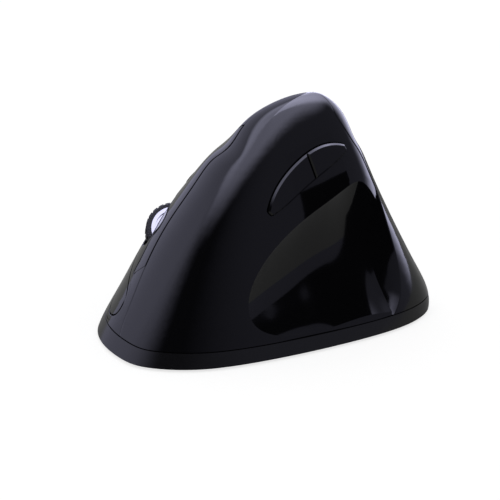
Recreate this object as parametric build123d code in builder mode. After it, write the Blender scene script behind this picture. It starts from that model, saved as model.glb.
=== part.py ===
"""A right-handed vertical mouse with a thumb scoop, as an assembly of separate pieces.

Millimetres, +Z up, origin at the middle of the underside's bounding box on the table.
+Y is the front (where the fingers point), -X the thumb side, +X the finger side.
"""
import os
from math import cos, pi, sin

from build123d import *

os.makedirs("parts", exist_ok=True)

# Overall form
HEIGHT = 76.0
APEX = (-8.0, -17.0)
FOOT_HEIGHT = 0.8
SEAM_HEIGHT = 5.8
FLOOR_TOP = 3.0
THUMB_ROUNDNESS = 2.6
FINGER_ROUNDNESS = 2.2
POINTS_PER_QUARTER = 4
SPLINE_STEPS = 12

# Walls and clearances
WALL_INSET = 2.5
SCOOP_WALL = 2.2
SEAM_GAP = 0.3
TRIM_GAP = 0.15
MOVING_GAP = 0.4
RIDGE_GAP = 1.1
RUNNING_FIT = 0.05
HINGE_SIDE_GAP = 0.1

# Rounded edges of the visible pieces
LEFT_EDGE = 0.3
RIGHT_EDGE = 0.8
STRIP_EDGE = 0.25
PALM_EDGE = 0.8
THUMB_BUTTON_BEVEL = 0.5

# Each station of the body: height, front, rear, thumb side, finger side, nose x, tail x
STATIONS = [
    (FOOT_HEIGHT, 57.0, -57.0, -39.5, 39.5, -10.0, -13.0),
    (6.0, 54.0, -56.2, -38.6, 39.4, -11.0, -14.5),
    (15.0, 48.0, -51.5, -35.2, 38.0, -13.5, -16.0),
    (26.0, 41.6, -45.0, -31.5, 34.0, -15.0, -16.5),
    (37.0, 34.4, -39.6, -28.2, 28.0, -15.5, -16.5),
    (48.0, 25.8, -34.5, -25.0, 21.0, -15.0, -16.0),
    (58.0, 18.0, -30.2, -21.8, 12.5, -13.5, -14.5),
    (66.0, 10.5, -27.0, -18.6, 5.0, -11.5, -12.5),
    (71.5, 4.0, -24.4, -15.4, -0.6, -10.0, -11.0),
]
DOME_SHARES = (0.75, 0.5, 0.25)

# The thumb scoop: a horn of round sections lying against the thumb side and opening to
# the rear, each section with its place along the mouse, centre x, centre height and radius
SCOOP_STATIONS = [
    (34.0, -55.0, 20.4, 18.2),
    (24.0, -54.5, 23.2, 22.0),
    (14.0, -54.4, 26.0, 25.3),
    (2.0, -55.8, 29.9, 29.6),
    (-12.0, -61.5, 35.4, 37.1),
    (-26.0, -69.5, 41.1, 47.3),
    (-40.0, -82.2, 38.3, 57.5),
    (-56.0, -91.7, 31.2, 74.5),
]
SCOOP_RIM_BEVEL = 1.0
SCOOP_MIDDLE = (-30.0, -5.0, 28.0)

# The seam between the thumb side and the finger side: x over z, carried along a slant
RIDGE_SLANT = 0.34
RIDGE_TOP = HEIGHT + 4.0
RIDGE_FOOT = -2.0
RIDGE_CURVE = [(-32, RIDGE_FOOT), (-27, 5), (-22.5, 10.5), (-18.8, 16.5), (-15.8, 23), (-12.8, 32),
               (-10.4, 41), (-9.6, 50), (-9.3, 61), (-9.0, HEIGHT - 7), (-4.5, HEIGHT - 1), (1, RIDGE_TOP)]

# The plane the fingers lie on: x along the fingers, y up the face, z out of it
FINGER_ORIGIN = (13.0, 30.0, 34.0)
FINGER_ALONG = Vector(-0.1002, 0.7944, -0.5991)
FINGER_OUT = Vector(0.6368, 0.5138, 0.5748)
finger_plane = Plane(origin=FINGER_ORIGIN, x_dir=FINGER_ALONG, z_dir=FINGER_OUT)
FINGER_UP = finger_plane.y_dir

# Scroll wheel, in the finger plane
WHEEL_X, WHEEL_Y, WHEEL_Z = -2.0, -2.0, -6.2
WHEEL_RADIUS = 9.2
WHEEL_WIDTH = 7.0
TYRE_THICKNESS = 1.8
TYRE_WIDTH = 6.2
TREAD_GROOVES = 24
AXLE_RADIUS = 1.5
STRIP_HALF = 5.5
SLOT_LENGTH = 20.0
SLOT_WIDTH = 9.0
LEFT_PRESS = (3.0, 7.4)
RIGHT_PRESS = (-5.5, -13.5)
RIB_RADIUS = 1.4
SPEED_X = -22.0
STRIP_LEGS = [(-31.0, -2.0), (14.0, -1.0)]
SPEED_LENGTH = 8.0
SPEED_WIDTH = 5.0
SPEED_RISE = 0.5
SPEED_LIP = 1.2
SPEED_LIP_THICKNESS = 1.0
SPEED_TRAVEL = 0.4
WHEEL_SWITCH_SPOT = (-14.0, 1.8)

# The skin under the fingers lies between these two depths of the finger plane
SKIN_LOW, SKIN_HIGH = -22.0, 30.0

# Depths under the finger plane
FRAME_TOP = -17.0
FRAME_THICKNESS = 2.0
BOARD_THICKNESS = 1.2
BOARD_TOP = FRAME_TOP + BOARD_THICKNESS
SWITCH_TOP = -9.3
PLUNGER_TOP = -8.6
LEFT_RIB_END = -7.6
RIGHT_RIB_END = -7.8
SPEED_CAP_DEPTH = -2.6
SPEED_LIP_DEPTH = -3.0
MICROSWITCH_SIZE = (12.8, 5.8)
PLUNGER_SIZE = (2.4, 3.0)
TACT_SIZE = 4.2
TACT_HEIGHT = 1.7
TACT_BUTTON_RADIUS = 1.1
TACT_BUTTON_HEIGHT = 0.5
CRADLE_BOTTOM = -13.0
CRADLE_TOP = -10.5
CRADLE_PIN_REACH = 12.2
PIN_RADIUS = 1.2
CRADLE_END = 2.2
ARM_THICKNESS = 1.5
ARM_WIDTH = 8.0
ARM_HEAD_RADIUS = 3.0
AXLE_STUB = 1.5
HUB_RIM = 1.2
HUB_DISH = 0.8
GROOVE_DEPTH = 0.35
GROOVE_WIDTH = 0.8
TYRE_EDGE = 0.7
ENCODER_SIZE = (9.0, 8.4)
ENCODER_DROP = 1.3
ENCODER_THICKNESS = 2.4
LEG_RADIUS = 2.4

# Button hinges: x and z in the finger plane, and the span along the face
HINGE_PIN_RADIUS = 1.0
HINGE_BARREL_RADIUS = 1.5
LUG_THICKNESS = 1.6
LUG_WIDTH = 4.4
LUG_HEAD_RADIUS = 2.0
LUG_ROOT = 0.5
LEFT_HINGE = (-43.0, -9.6)
LEFT_BARREL = (7.2, 14.8)
RIGHT_HINGE = (-37.0, -13.6)
RIGHT_BARREL = (-14.8, -7.2)

# Battery bay: two cells side by side across the mouse
CELL_RADIUS = 5.2
CELL_BODY = 43.3
CELL_NUB = 1.2
CELL_PITCH = 11.5
CELL_HEIGHT = 7.6
CELL_NUB_RADIUS = 1.9
CONTACT_SIZE = 8.4
CONTACT_THICKNESS = 0.4
CONTACT_BUMP_RADIUS = 3.0
CONTACT_TAPER = 25
BAY_CENTRE = (-1.5, -19.6)
BAY_LENGTH = 48.4
BAY_WIDTH = 23.8
BAY_TOP = 13.2
BAY_WALL = 1.3
COVER_LEDGE = 1.6
COVER_THICKNESS = 1.3
COVER_CORNER = 1.5
GRIP_LENGTH = 12.0
GRIP_WIDTH = 0.9
GRIP_PITCH = 1.8
GRIP_DEPTH = 0.5
GRIP_FROM_EDGE = 4.0

# Receiver stowed upright in the underside
RECEIVER_X, RECEIVER_Y = 25.5, 6.0
RECEIVER_BODY = (6.4, 14.8, 6.0)
RECEIVER_PLUG = (4.5, 12.0, 12.0)
RECEIVER_BOTTOM = 1.1
RECEIVER_CORNER = 1.2
SOCKET_WALL = 1.2
PLUG_SHELL = 0.4
PLUG_MOUTH = 1.8
PLUG_MOUTH_DEPTH = 8.0

# Screws, sensor, switch
SCREW_SPOTS = [(-21.0, 42.0), (24.5, 27.0), (8.0, -41.5), (-16.0, -44.0)]
SIDE_PILLAR = 6.5
SCREW_SHANK = 1.1
SCREW_HEAD = 2.0
SCREW_HEAD_HEIGHT = 1.4
SCREW_LENGTH = 9.0
SCREW_RECESS = 0.6
DRIVE_DEPTH = 0.8
DRIVE_LENGTH = 2.4
DRIVE_WIDTH = 0.5
POST_RADIUS = 3.1
POST_TOP = 9.6
SENSOR_Y = 8.0
SENSOR_WINDOW = (12.0, 8.0)
LENS_BASE = (16.0, 12.0)
LENS_EYE = (8.0, 5.0)
LENS_EYE_BOTTOM = 1.7
LENS_THICKNESS = 2.4
CHIP_SIZE = (12.0, 9.0)
MAIN_BOARD_CENTRE = (-2.0, 17.0)
MAIN_BOARD_SIZE = (40.0, 38.0)
MAIN_BOARD_CORNER = 4.0
MAIN_BOARD_BOTTOM = 8.2
MAIN_BOARD_THICKNESS = 1.6
SWITCH_X, SWITCH_Y = -8.0, 24.0
SWITCH_BODY = (7.5, 12.0)
SWITCH_TRAVEL = 3.0
KNOB_SIZE = 3.2
KNOB_BOTTOM = 1.1
KNOB_HEIGHT = 2.4
COLLAR_SIZE = (4.2, 4.4)
COLLAR_HEIGHT = 1.2
COLLAR_LIFT = 0.1

# Thumb buttons
THUMB_RISE = 1.0
ALMOND_CORNER = 1.0
THUMB_CAP_DEPTH = 1.3
THUMB_LIP = 0.8
THUMB_LIP_TOP = 0.35
THUMB_BOARD_X = -13.4
THUMB_BOARD_CENTRE = (-5.5, 52.5)
THUMB_BOARD_SIZE = (29.0, 18.0)
THUMB_BOARD_CORNER = 2.0
THUMB_SWITCH_SIZE = (6.0, 4.8)
THUMB_SWITCH_HEIGHT = 2.4
THUMB_SWITCH_BUTTON = 0.6
THUMB_SWITCH_BUTTON_RADIUS = 1.6
THUMB_TRAVEL = 0.6
THUMB_STEM_RADIUS = 1.3
THUMB_STEM_LENGTH = 3.0
FORWARD_SPOT = (2.0, 50.0)
BACK_SPOT = (-14.0, 58.0)
BOARD_POSTS = [(6.0, 58.0), (-12.0, 46.4)]
BOARD_POST_RADIUS = 1.8

# Glide feet: where each begins along the mouse, how far in from the edge, how wide
FRONT_FOOT_START = 33.0
REAR_FOOT_START = -49.0
FOOT_INSET = 1.8
FRONT_FOOT_WIDTH = 7.0
REAR_FOOT_WIDTH = 5.0

# Reach of the cutting prisms and planes: past the whole mouse
FAR = 90.0


def ring(height, front, rear, thumb, finger, nose, tail, inset):
    """The points of one level outline of the body, drawn in by an inset."""
    front, rear, thumb, finger = front - inset, rear + inset, thumb + inset, finger - inset
    middle = (front + rear) / 2
    quarters = [
        (nose, front, finger, FINGER_ROUNDNESS, False),
        (tail, rear, finger, FINGER_ROUNDNESS, True),
        (tail, rear, thumb, THUMB_ROUNDNESS, False),
        (nose, front, thumb, THUMB_ROUNDNESS, True),
    ]
    points = []
    for tip_x, tip_y, side, roundness, towards_tip in quarters:
        for step in range(POINTS_PER_QUARTER):
            turn = (POINTS_PER_QUARTER - step if towards_tip else step) / POINTS_PER_QUARTER * pi / 2
            x = tip_x + sin(turn) ** (2 / roundness) * (side - tip_x)
            y = middle + max(cos(turn), 0.0) ** (2 / roundness) * (tip_y - middle)
            points.append(Vector(x, y, height))
    return points


def outline(points):
    """A smooth closed wire through the points, its joints evenly spaced."""
    count = len(points)
    marks = [step / count for step in range(count + 1)]
    return Wire([Edge.make_spline(points, periodic=True, parameters=marks)])


def body_form(inset=0.0):
    """The whole closed form of the body, drawn in (or grown) by an inset."""
    top = HEIGHT - inset
    last = STATIONS[-1]
    sections = [outline(ring(*station, inset)) for station in STATIONS]
    summit = (top, APEX[1] + inset, APEX[1] - inset, APEX[0] - inset, APEX[0] + inset, *([APEX[0]] * 2))
    for share in DOME_SHARES:
        mixed = [a + (b - a) * share for a, b in zip(summit, last)]
        mixed[0] = top - (top - last[0]) * share**2
        sections.append(outline(ring(*mixed, inset)))
    sections.append(Vertex(APEX[0], APEX[1], top))
    return Solid.make_loft(sections)


def scoop_form(grow=0.0):
    """The horn that hollows the thumb side, grown by a wall thickness."""
    sections = []
    for y, x, z, radius in SCOOP_STATIONS:
        across = Plane(origin=(x, y, z), x_dir=(-1, 0, 0), z_dir=(0, -1, 0))
        sections.append(Wire.make_circle(radius + grow, across))
    return Solid.make_loft(sections)


def thumb_half(shift=0.0):
    """Everything on the thumb side of the ridge seam, the seam moved by a shift."""
    direction = Vector(RIDGE_SLANT, 1, 0).normalized()
    back_plane = Plane(origin=(shift - RIDGE_SLANT * FAR, -FAR, 0), x_dir=(1, 0, 0), z_dir=(0, -1, 0))
    with BuildPart() as half:
        with BuildSketch(back_plane):
            with BuildLine():
                seam = Spline(*RIDGE_CURVE)
                Polyline(seam @ 1, (-FAR, RIDGE_TOP), (-FAR, RIDGE_FOOT), seam @ 0)
            make_face()
        extrude(amount=2.2 * FAR, dir=direction)
    return half.part.solid()


def prism(sketch_face, plane, low, high):
    """A straight prism of a flat outline, between two depths of a plane."""
    flat = plane.offset(low).location * sketch_face
    return Solid.extrude(flat.face(), plane.z_dir * (high - low))


def slab(low, high):
    """A wide block between two heights."""
    return Solid.make_box(2 * FAR, 2 * FAR, high - low).moved(Location((-FAR, -FAR, low)))


def outer_rim(piece):
    """The edges around the largest face of a piece of the skin."""
    return piece.faces().sort_by(SortBy.AREA)[-1].outer_wire().edges()


def grown(flat, amount):
    """A flat outline grown by an amount, its curves drawn again as plain splines."""
    with BuildSketch() as bigger:
        add(flat)
        offset(amount=amount)
    edges = []
    for edge in bigger.sketch.face().outer_wire().edges():
        if edge.geom_type not in (GeomType.LINE, GeomType.CIRCLE):
            points = [edge @ (step / SPLINE_STEPS) for step in range(SPLINE_STEPS + 1)]
            edge = Edge.make_spline(points, tangents=[edge % 0, edge % 1])
        edges.append(edge)
    return Face(Wire(edges))


# Flat outlines in the finger plane
with BuildSketch() as left_outline:
    with BuildLine():
        low_edge = Line((-36, WHEEL_Y + STRIP_HALF + MOVING_GAP), (6, WHEEL_Y + STRIP_HALF + MOVING_GAP))
        tip_edge = Spline(low_edge @ 1, (12.5, 2.9), (18.5, 0.6), tangents=[(1, 0), (1, -0.45)])
        Polyline(tip_edge @ 1, (14, 12), (6, 22), (-20, 34), (-36, 40), low_edge @ 0)
    make_face()
    fillet(left_outline.vertices().sort_by_distance((-36, 4))[0], 2.0)
    fillet(left_outline.vertices().sort_by_distance((18.5, 0.6))[0], 0.5)

with BuildSketch() as right_outline:
    with BuildLine():
        top_edge = Line((-31, WHEEL_Y - STRIP_HALF - MOVING_GAP), (4, WHEEL_Y - STRIP_HALF - MOVING_GAP))
        around = Spline(
            top_edge @ 1, (12.5, -5.6), (20, -1.2), (27, 2.3), (31.6, 0.8), (31.8, -4),
            (26, -9.8), (17, -14.6), (3, -19.6), (-14, -22), (-31, -20.5),
            tangents=[(1, 0), (-1, 0.12)],
        )
        Line(around @ 1, top_edge @ 0)
    make_face()
    fillet(right_outline.vertices().group_by(Axis.X)[0], 2.0)

with BuildSketch() as strip_outline:
    with Locations((-7, WHEEL_Y)):
        RectangleRounded(56, 2 * STRIP_HALF, 5.4)
    with BuildSketch(mode=Mode.PRIVATE) as rim_front:
        add(grown(right_outline.sketch, 1.9))
        with Locations((24, 1)):
            Rectangle(40, 16, mode=Mode.INTERSECT)
    add(rim_front.sketch)

strip_cut = grown(strip_outline.sketch, TRIM_GAP)
left_cut = grown(left_outline.sketch, MOVING_GAP)
right_cut = grown(right_outline.sketch, MOVING_GAP)

# The thumb buttons' almond outline, looked at from the thumb side: y forward, z up
with BuildSketch() as almond:
    with BuildLine():
        upper = Spline((11, 44.4), (7.2, 50.6), (-1.6, 57.8), (-12.5, 61.9), (-21.6, 60.9))
        lower = Spline((-22.6, 58.6), (-16.1, 55.3), (-4.2, 49.7), (5, 44.6), (9.6, 42.6))
        Line(upper @ 1, lower @ 0)
        Line(lower @ 1, upper @ 0)
    make_face()
    fillet(almond.vertices(), ALMOND_CORNER)

# Flat outlines of the openings and of the strip itself
with BuildSketch() as face_opening:
    add(left_cut)
    add(right_cut)
    add(strip_cut)

with BuildSketch() as strip_face:
    add(strip_outline.sketch)
    add(left_cut, mode=Mode.SUBTRACT)
    add(right_cut, mode=Mode.SUBTRACT)
    with Locations((WHEEL_X, WHEEL_Y)):
        RectangleRounded(SLOT_LENGTH, SLOT_WIDTH, 2.5, mode=Mode.SUBTRACT)
    with Locations((SPEED_X, WHEEL_Y)):
        SlotOverall(SPEED_LENGTH + 2 * SEAM_GAP, SPEED_WIDTH + 2 * SEAM_GAP, mode=Mode.SUBTRACT)

# Forms shared by several pieces
outer = body_form()
thumb_block = ((outer - scoop_form()) & thumb_half()).solid()
scoop_face = thumb_block.faces().sort_by_distance(SCOOP_MIDDLE)[0]
scoop_rim = scoop_face.outer_wire().edges().sort_by(SortBy.LENGTH)[-1]
scooped = thumb_block.chamfer(SCOOP_RIM_BEVEL, None, [scoop_rim])
middle_form = body_form(WALL_INSET / 2) - scoop_form(WALL_INSET / 2)
cavity = body_form(WALL_INSET) - scoop_form(SCOOP_WALL)
above_seam = slab(SEAM_HEIGHT, HEIGHT + 5)
upper_skin = (outer - cavity) & above_seam
finger_skin = upper_skin - thumb_half(SEAM_GAP)


def screw_pillar(spot, reach=60):
    """A round post from the screw posts up into the skin."""
    post = Solid.make_cylinder(POST_RADIUS, reach, Plane((*spot, POST_TOP)))
    bore = Solid.make_cylinder(SCREW_SHANK + RUNNING_FIT, 5, Plane((*spot, POST_TOP)))
    return (post & middle_form) - bore


PLUG_TOP = RECEIVER_BOTTOM + RECEIVER_BODY[2] + RECEIVER_PLUG[2]

# Lower casing: a tray with the battery bay, the receiver's socket and the screw posts
with BuildPart() as base_casing:
    add(outer & slab(FOOT_HEIGHT, SEAM_HEIGHT - SEAM_GAP))
    add(body_form(WALL_INSET) & slab(FLOOR_TOP, SEAM_HEIGHT + 1), mode=Mode.SUBTRACT)
    with BuildSketch(Plane.XY.offset(FLOOR_TOP)):
        with Locations(BAY_CENTRE):
            Rectangle(BAY_LENGTH + 2 * BAY_WALL, BAY_WIDTH + 2 * BAY_WALL)
    extrude(amount=BAY_TOP + BAY_WALL - FLOOR_TOP)
    with BuildSketch(Plane.XY.offset(FLOOR_TOP)):
        with Locations((RECEIVER_X, RECEIVER_Y)):
            Rectangle(RECEIVER_BODY[0] + 2 * SOCKET_WALL, RECEIVER_BODY[1] + 2 * SOCKET_WALL)
    extrude(amount=PLUG_TOP + SEAM_GAP + SOCKET_WALL - FLOOR_TOP)
    with BuildSketch(Plane.XY.offset(FLOOR_TOP)):
        with Locations(*SCREW_SPOTS):
            Circle(POST_RADIUS)
    extrude(amount=POST_TOP - FLOOR_TOP)
    with BuildSketch(Plane.XY.offset(FOOT_HEIGHT)):
        with Locations(BAY_CENTRE):
            Rectangle(BAY_LENGTH, BAY_WIDTH)
    extrude(amount=BAY_TOP - FOOT_HEIGHT, mode=Mode.SUBTRACT)
    with BuildSketch(Plane.XY.offset(FOOT_HEIGHT)):
        with Locations(BAY_CENTRE):
            RectangleRounded(BAY_LENGTH + 2 * COVER_LEDGE, BAY_WIDTH + 2 * COVER_LEDGE, COVER_CORNER)
    extrude(amount=COVER_THICKNESS + SEAM_GAP, mode=Mode.SUBTRACT)
    with BuildSketch(Plane.XY.offset(FOOT_HEIGHT)):
        with Locations((RECEIVER_X, RECEIVER_Y)):
            Rectangle(RECEIVER_BODY[0] + 2 * SEAM_GAP, RECEIVER_BODY[1] + 2 * SEAM_GAP)
    extrude(amount=RECEIVER_BODY[2] + SEAM_GAP + RECEIVER_BOTTOM - FOOT_HEIGHT, mode=Mode.SUBTRACT)
    with BuildSketch(Plane.XY.offset(FOOT_HEIGHT)):
        with Locations((RECEIVER_X, RECEIVER_Y)):
            Rectangle(RECEIVER_PLUG[0] + 2 * SEAM_GAP, RECEIVER_PLUG[1] + 2 * SEAM_GAP)
    extrude(amount=PLUG_TOP + SEAM_GAP - FOOT_HEIGHT, mode=Mode.SUBTRACT)
    with BuildSketch(Plane.XY.offset(FOOT_HEIGHT)):
        with Locations(*SCREW_SPOTS):
            Circle(SCREW_SHANK + RUNNING_FIT)
    extrude(amount=POST_TOP, mode=Mode.SUBTRACT)
    with BuildSketch(Plane.XY.offset(FOOT_HEIGHT)):
        with Locations(*SCREW_SPOTS):
            Circle(SCREW_HEAD + RUNNING_FIT)
    extrude(amount=SCREW_HEAD_HEIGHT + SCREW_RECESS, mode=Mode.SUBTRACT)
    with BuildSketch(Plane.XY.offset(FOOT_HEIGHT)):
        with Locations((0, SENSOR_Y)):
            SlotOverall(*SENSOR_WINDOW)
        with Locations((SWITCH_X, SWITCH_Y)):
            Rectangle(KNOB_SIZE + 2 * SEAM_GAP, KNOB_SIZE + SWITCH_TRAVEL + 2 * SEAM_GAP)
    extrude(amount=FLOOR_TOP, mode=Mode.SUBTRACT)
base_casing.part.label = "base_casing"
export_step(base_casing.part, "parts/base_casing.step")

# Thumb side: the moulded housing with the scoop and the thumb buttons' opening
thumb_skin = (scooped - cavity) & above_seam
thumb_skin = thumb_skin - prism(almond.sketch, Plane.YZ, -FAR, THUMB_BOARD_X)
with BuildSketch() as board_post_spots:
    with Locations(*BOARD_POSTS):
        Circle(BOARD_POST_RADIUS)
board_posts = [
    prism(Sketch() + face, Plane.YZ, -FAR, THUMB_BOARD_X) & middle_form for face in board_post_spots.faces()
]
with BuildPart() as thumb_side_shell:
    add(thumb_skin)
    add(screw_pillar(SCREW_SPOTS[0]))
    add(board_posts)
thumb_side_shell.part.label = "thumb_side_shell"
export_step(thumb_side_shell.part, "parts/thumb_side_shell.step")

# Finger side: the palm shell that carries the strip and frames the two buttons
with BuildPart() as palm_shell:
    add(finger_skin)
    seam_edges = outer_rim(palm_shell).filter_by(lambda edge: edge.length > HEIGHT)
    fillet(seam_edges.sort_by(Axis.Z)[-2:], PALM_EDGE)
    add(prism(face_opening.sketch, finger_plane, SKIN_LOW, SKIN_HIGH), mode=Mode.SUBTRACT)
    add(screw_pillar(SCREW_SPOTS[1], SIDE_PILLAR))
    for spot in SCREW_SPOTS[2:]:
        add(screw_pillar(spot))
palm_shell.part.label = "palm_shell"
export_step(palm_shell.part, "parts/palm_shell.step")


def inner_rib(spot, low):
    """A round rib from the skin straight down to a depth under the finger plane."""
    foot = finger_plane.from_local_coords(Vector(*spot, low))
    rib = Solid.make_cylinder(RIB_RADIUS, 30, Plane(origin=foot, z_dir=FINGER_OUT))
    return rib & middle_form


# Centre strip between the buttons, with the slots for the wheel and the speed button
with BuildPart() as wheel_strip:
    add(finger_skin & prism(strip_face.sketch, finger_plane, SKIN_LOW, SKIN_HIGH))
    fillet(wheel_strip.faces().sort_by(SortBy.AREA)[-1].edges(), STRIP_EDGE)
    for spot in STRIP_LEGS:
        add(inner_rib(spot, FRAME_TOP))
wheel_strip.part.label = "wheel_strip"
export_step(wheel_strip.part, "parts/wheel_strip.step")


def hinge_side(at_y):
    """A plane across the face at one place, x along the fingers, y out of the face."""
    return Plane(origin=finger_plane.from_local_coords(Vector(0, at_y, 0)), x_dir=finger_plane.x_dir,
                 z_dir=-FINGER_UP)


with BuildPart() as left_click_button:
    add((upper_skin - thumb_half(RIDGE_GAP)) & prism(left_outline.sketch, finger_plane, SKIN_LOW, SKIN_HIGH))
    fillet(outer_rim(left_click_button), LEFT_EDGE)
    with BuildSketch(hinge_side(14)):
        with BuildLine():
            Polyline((-30, -1.6), (-33.5, -4.6), (-42.2, -8.6), (-43.6, -10.6), (-34.5, -7.4),
                     (-30, -4.8), (-30, -1.6))
        make_face()
    extrude(amount=6)
    with BuildSketch(hinge_side(LEFT_BARREL[1])):
        with Locations(LEFT_HINGE):
            Circle(HINGE_BARREL_RADIUS)
    extrude(amount=LEFT_BARREL[1] - LEFT_BARREL[0])
    with BuildSketch(hinge_side(LEFT_BARREL[1] + LUG_THICKNESS)):
        with Locations(LEFT_HINGE):
            Circle(HINGE_PIN_RADIUS)
    extrude(amount=LEFT_BARREL[1] - LEFT_BARREL[0] + 2 * LUG_THICKNESS)
    add(inner_rib(LEFT_PRESS, LEFT_RIB_END))
left_click_button.part.label = "left_click_button"
export_step(left_click_button.part, "parts/left_click_button.step")

with BuildPart() as right_click_button:
    add(finger_skin & prism(right_outline.sketch, finger_plane, SKIN_LOW, SKIN_HIGH))
    fillet(outer_rim(right_click_button), RIGHT_EDGE)
    with BuildSketch(hinge_side(-9)):
        with BuildLine():
            Polyline((-27, -2.8), (-30.9, -7.6), (-35.8, -12.2), (-37.4, -14.9), (-30, -10.2),
                     (-26, -6.5), (-27, -2.8))
        make_face()
    extrude(amount=5)
    with BuildSketch(hinge_side(RIGHT_BARREL[1])):
        with Locations(RIGHT_HINGE):
            Circle(HINGE_BARREL_RADIUS)
    extrude(amount=RIGHT_BARREL[1] - RIGHT_BARREL[0])
    with BuildSketch(hinge_side(RIGHT_BARREL[1] + LUG_THICKNESS)):
        with Locations(RIGHT_HINGE):
            Circle(HINGE_PIN_RADIUS)
    extrude(amount=RIGHT_BARREL[1] - RIGHT_BARREL[0] + 2 * LUG_THICKNESS)
    add(inner_rib(RIGHT_PRESS, RIGHT_RIB_END))
right_click_button.part.label = "right_click_button"
export_step(right_click_button.part, "parts/right_click_button.step")

# Frame under the finger face: legs, plate, hinge lugs and the wheel's guide pins
FRAME_CORNERS = [(-47, -2), (-47, 17.5), (-10, 16), (13, 9), (17, -1), (2, -17), (-20, -19.5),
                 (-41, -17.5), (-41, -8)]
LEG_SPOTS = [(1.6, 26.0), (2.0, -3.6)]
PIN_SPOTS = [(WHEEL_X - CRADLE_PIN_REACH, WHEEL_Y), (WHEEL_X + CRADLE_PIN_REACH, WHEEL_Y)]
LUG_ROWS = [
    (hinge, start)
    for hinge, (low_side, high_side) in ((LEFT_HINGE, LEFT_BARREL), (RIGHT_HINGE, RIGHT_BARREL))
    for start in (high_side + HINGE_SIDE_GAP, low_side - HINGE_SIDE_GAP - LUG_THICKNESS)
]
with BuildPart() as button_frame:
    with BuildSketch(Plane.XY.offset(FLOOR_TOP)):
        with Locations(*LEG_SPOTS):
            Circle(LEG_RADIUS)
    extrude(amount=HEIGHT)
    with BuildSketch(finger_plane.offset(FRAME_TOP - FRAME_THICKNESS / 2)):
        Rectangle(2 * FAR, 2 * FAR)
    extrude(amount=FAR, mode=Mode.SUBTRACT)
    with BuildSketch(finger_plane.offset(FRAME_TOP - FRAME_THICKNESS)):
        with BuildLine():
            Polyline(*FRAME_CORNERS, FRAME_CORNERS[0])
        make_face()
    extrude(amount=FRAME_THICKNESS)
    for (hinge_x, hinge_z), start_y in LUG_ROWS:
        with BuildSketch(hinge_side(start_y + LUG_THICKNESS)):
            with Locations((hinge_x, hinge_z)):
                Rectangle(LUG_WIDTH, hinge_z - FRAME_TOP + LUG_ROOT, align=(Align.CENTER, Align.MAX))
            with Locations((hinge_x, hinge_z)):
                Circle(LUG_HEAD_RADIUS)
                Circle(HINGE_PIN_RADIUS + RUNNING_FIT, mode=Mode.SUBTRACT)
        extrude(amount=LUG_THICKNESS)
    with BuildSketch(finger_plane.offset(FRAME_TOP)):
        with Locations(*PIN_SPOTS):
            Circle(PIN_RADIUS)
    extrude(amount=CRADLE_TOP - FRAME_TOP + 1.0)
button_frame.part.label = "button_frame"
export_step(button_frame.part, "parts/button_frame.step")

# Board on the frame, with its microswitches and small push switches
BOARD_CORNERS = [(-28, -17), (-28, 13), (2, 13), (12.8, 12.2), (14, -2), (2, -15.5)]
BOARD_WINDOW = (12.0, 9.0)
with BuildPart() as button_board:
    with BuildSketch(finger_plane.offset(FRAME_TOP)):
        with BuildLine():
            Polyline(*BOARD_CORNERS, BOARD_CORNERS[0])
        make_face()
        with Locations(*PIN_SPOTS):
            Circle(PIN_RADIUS + SEAM_GAP, mode=Mode.SUBTRACT)
        with Locations(*STRIP_LEGS):
            Circle(RIB_RADIUS + SEAM_GAP, mode=Mode.SUBTRACT)
        with Locations((WHEEL_X, WHEEL_Y)):
            Rectangle(BOARD_WINDOW[0], BOARD_WINDOW[1], mode=Mode.SUBTRACT)
    extrude(amount=BOARD_THICKNESS)
button_board.part.label = "button_board"
export_step(button_board.part, "parts/button_board.step")


def microswitch(at_x, at_y):
    """A closed microswitch standing on the button board, its plunger on top."""
    with BuildPart() as switch:
        with BuildSketch(finger_plane.offset(BOARD_TOP)):
            with Locations((at_x, at_y)):
                Rectangle(*MICROSWITCH_SIZE)
        extrude(amount=SWITCH_TOP - BOARD_TOP)
        with BuildSketch(finger_plane.offset(SWITCH_TOP)):
            with Locations((at_x, at_y)):
                Rectangle(*PLUNGER_SIZE)
        extrude(amount=PLUNGER_TOP - SWITCH_TOP)
    return switch.part


def tact_switch(at_x, at_y):
    """A flat push switch on the button board."""
    with BuildPart() as switch:
        with BuildSketch(finger_plane.offset(BOARD_TOP)):
            with Locations((at_x, at_y)):
                Rectangle(TACT_SIZE, TACT_SIZE)
        extrude(amount=TACT_HEIGHT - TACT_BUTTON_HEIGHT)
        with BuildSketch(finger_plane.offset(BOARD_TOP + TACT_HEIGHT)):
            with Locations((at_x, at_y)):
                Circle(TACT_BUTTON_RADIUS)
        extrude(amount=-TACT_BUTTON_HEIGHT)
    return switch.part


BOARD_SWITCHES = {
    "left_microswitch": microswitch(*LEFT_PRESS),
    "right_microswitch": microswitch(*RIGHT_PRESS),
    "wheel_switch": tact_switch(*WHEEL_SWITCH_SPOT),
    "speed_switch": tact_switch(SPEED_X, WHEEL_Y),
}
for name, switch_part in BOARD_SWITCHES.items():
    with BuildPart() as board_switch:
        add(switch_part)
    board_switch.part.label = name
    export_step(board_switch.part, f"parts/{name}.step")

# Scroll wheel on its sprung cradle
wheel_centre = finger_plane.from_local_coords(Vector(WHEEL_X, WHEEL_Y, WHEEL_Z))
wheel_plane = Plane(origin=wheel_centre, x_dir=finger_plane.x_dir, z_dir=-FINGER_UP)
HUB_RADIUS = WHEEL_RADIUS - TYRE_THICKNESS
ARM_INNER = WHEEL_WIDTH / 2 + 2 * SEAM_GAP

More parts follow.
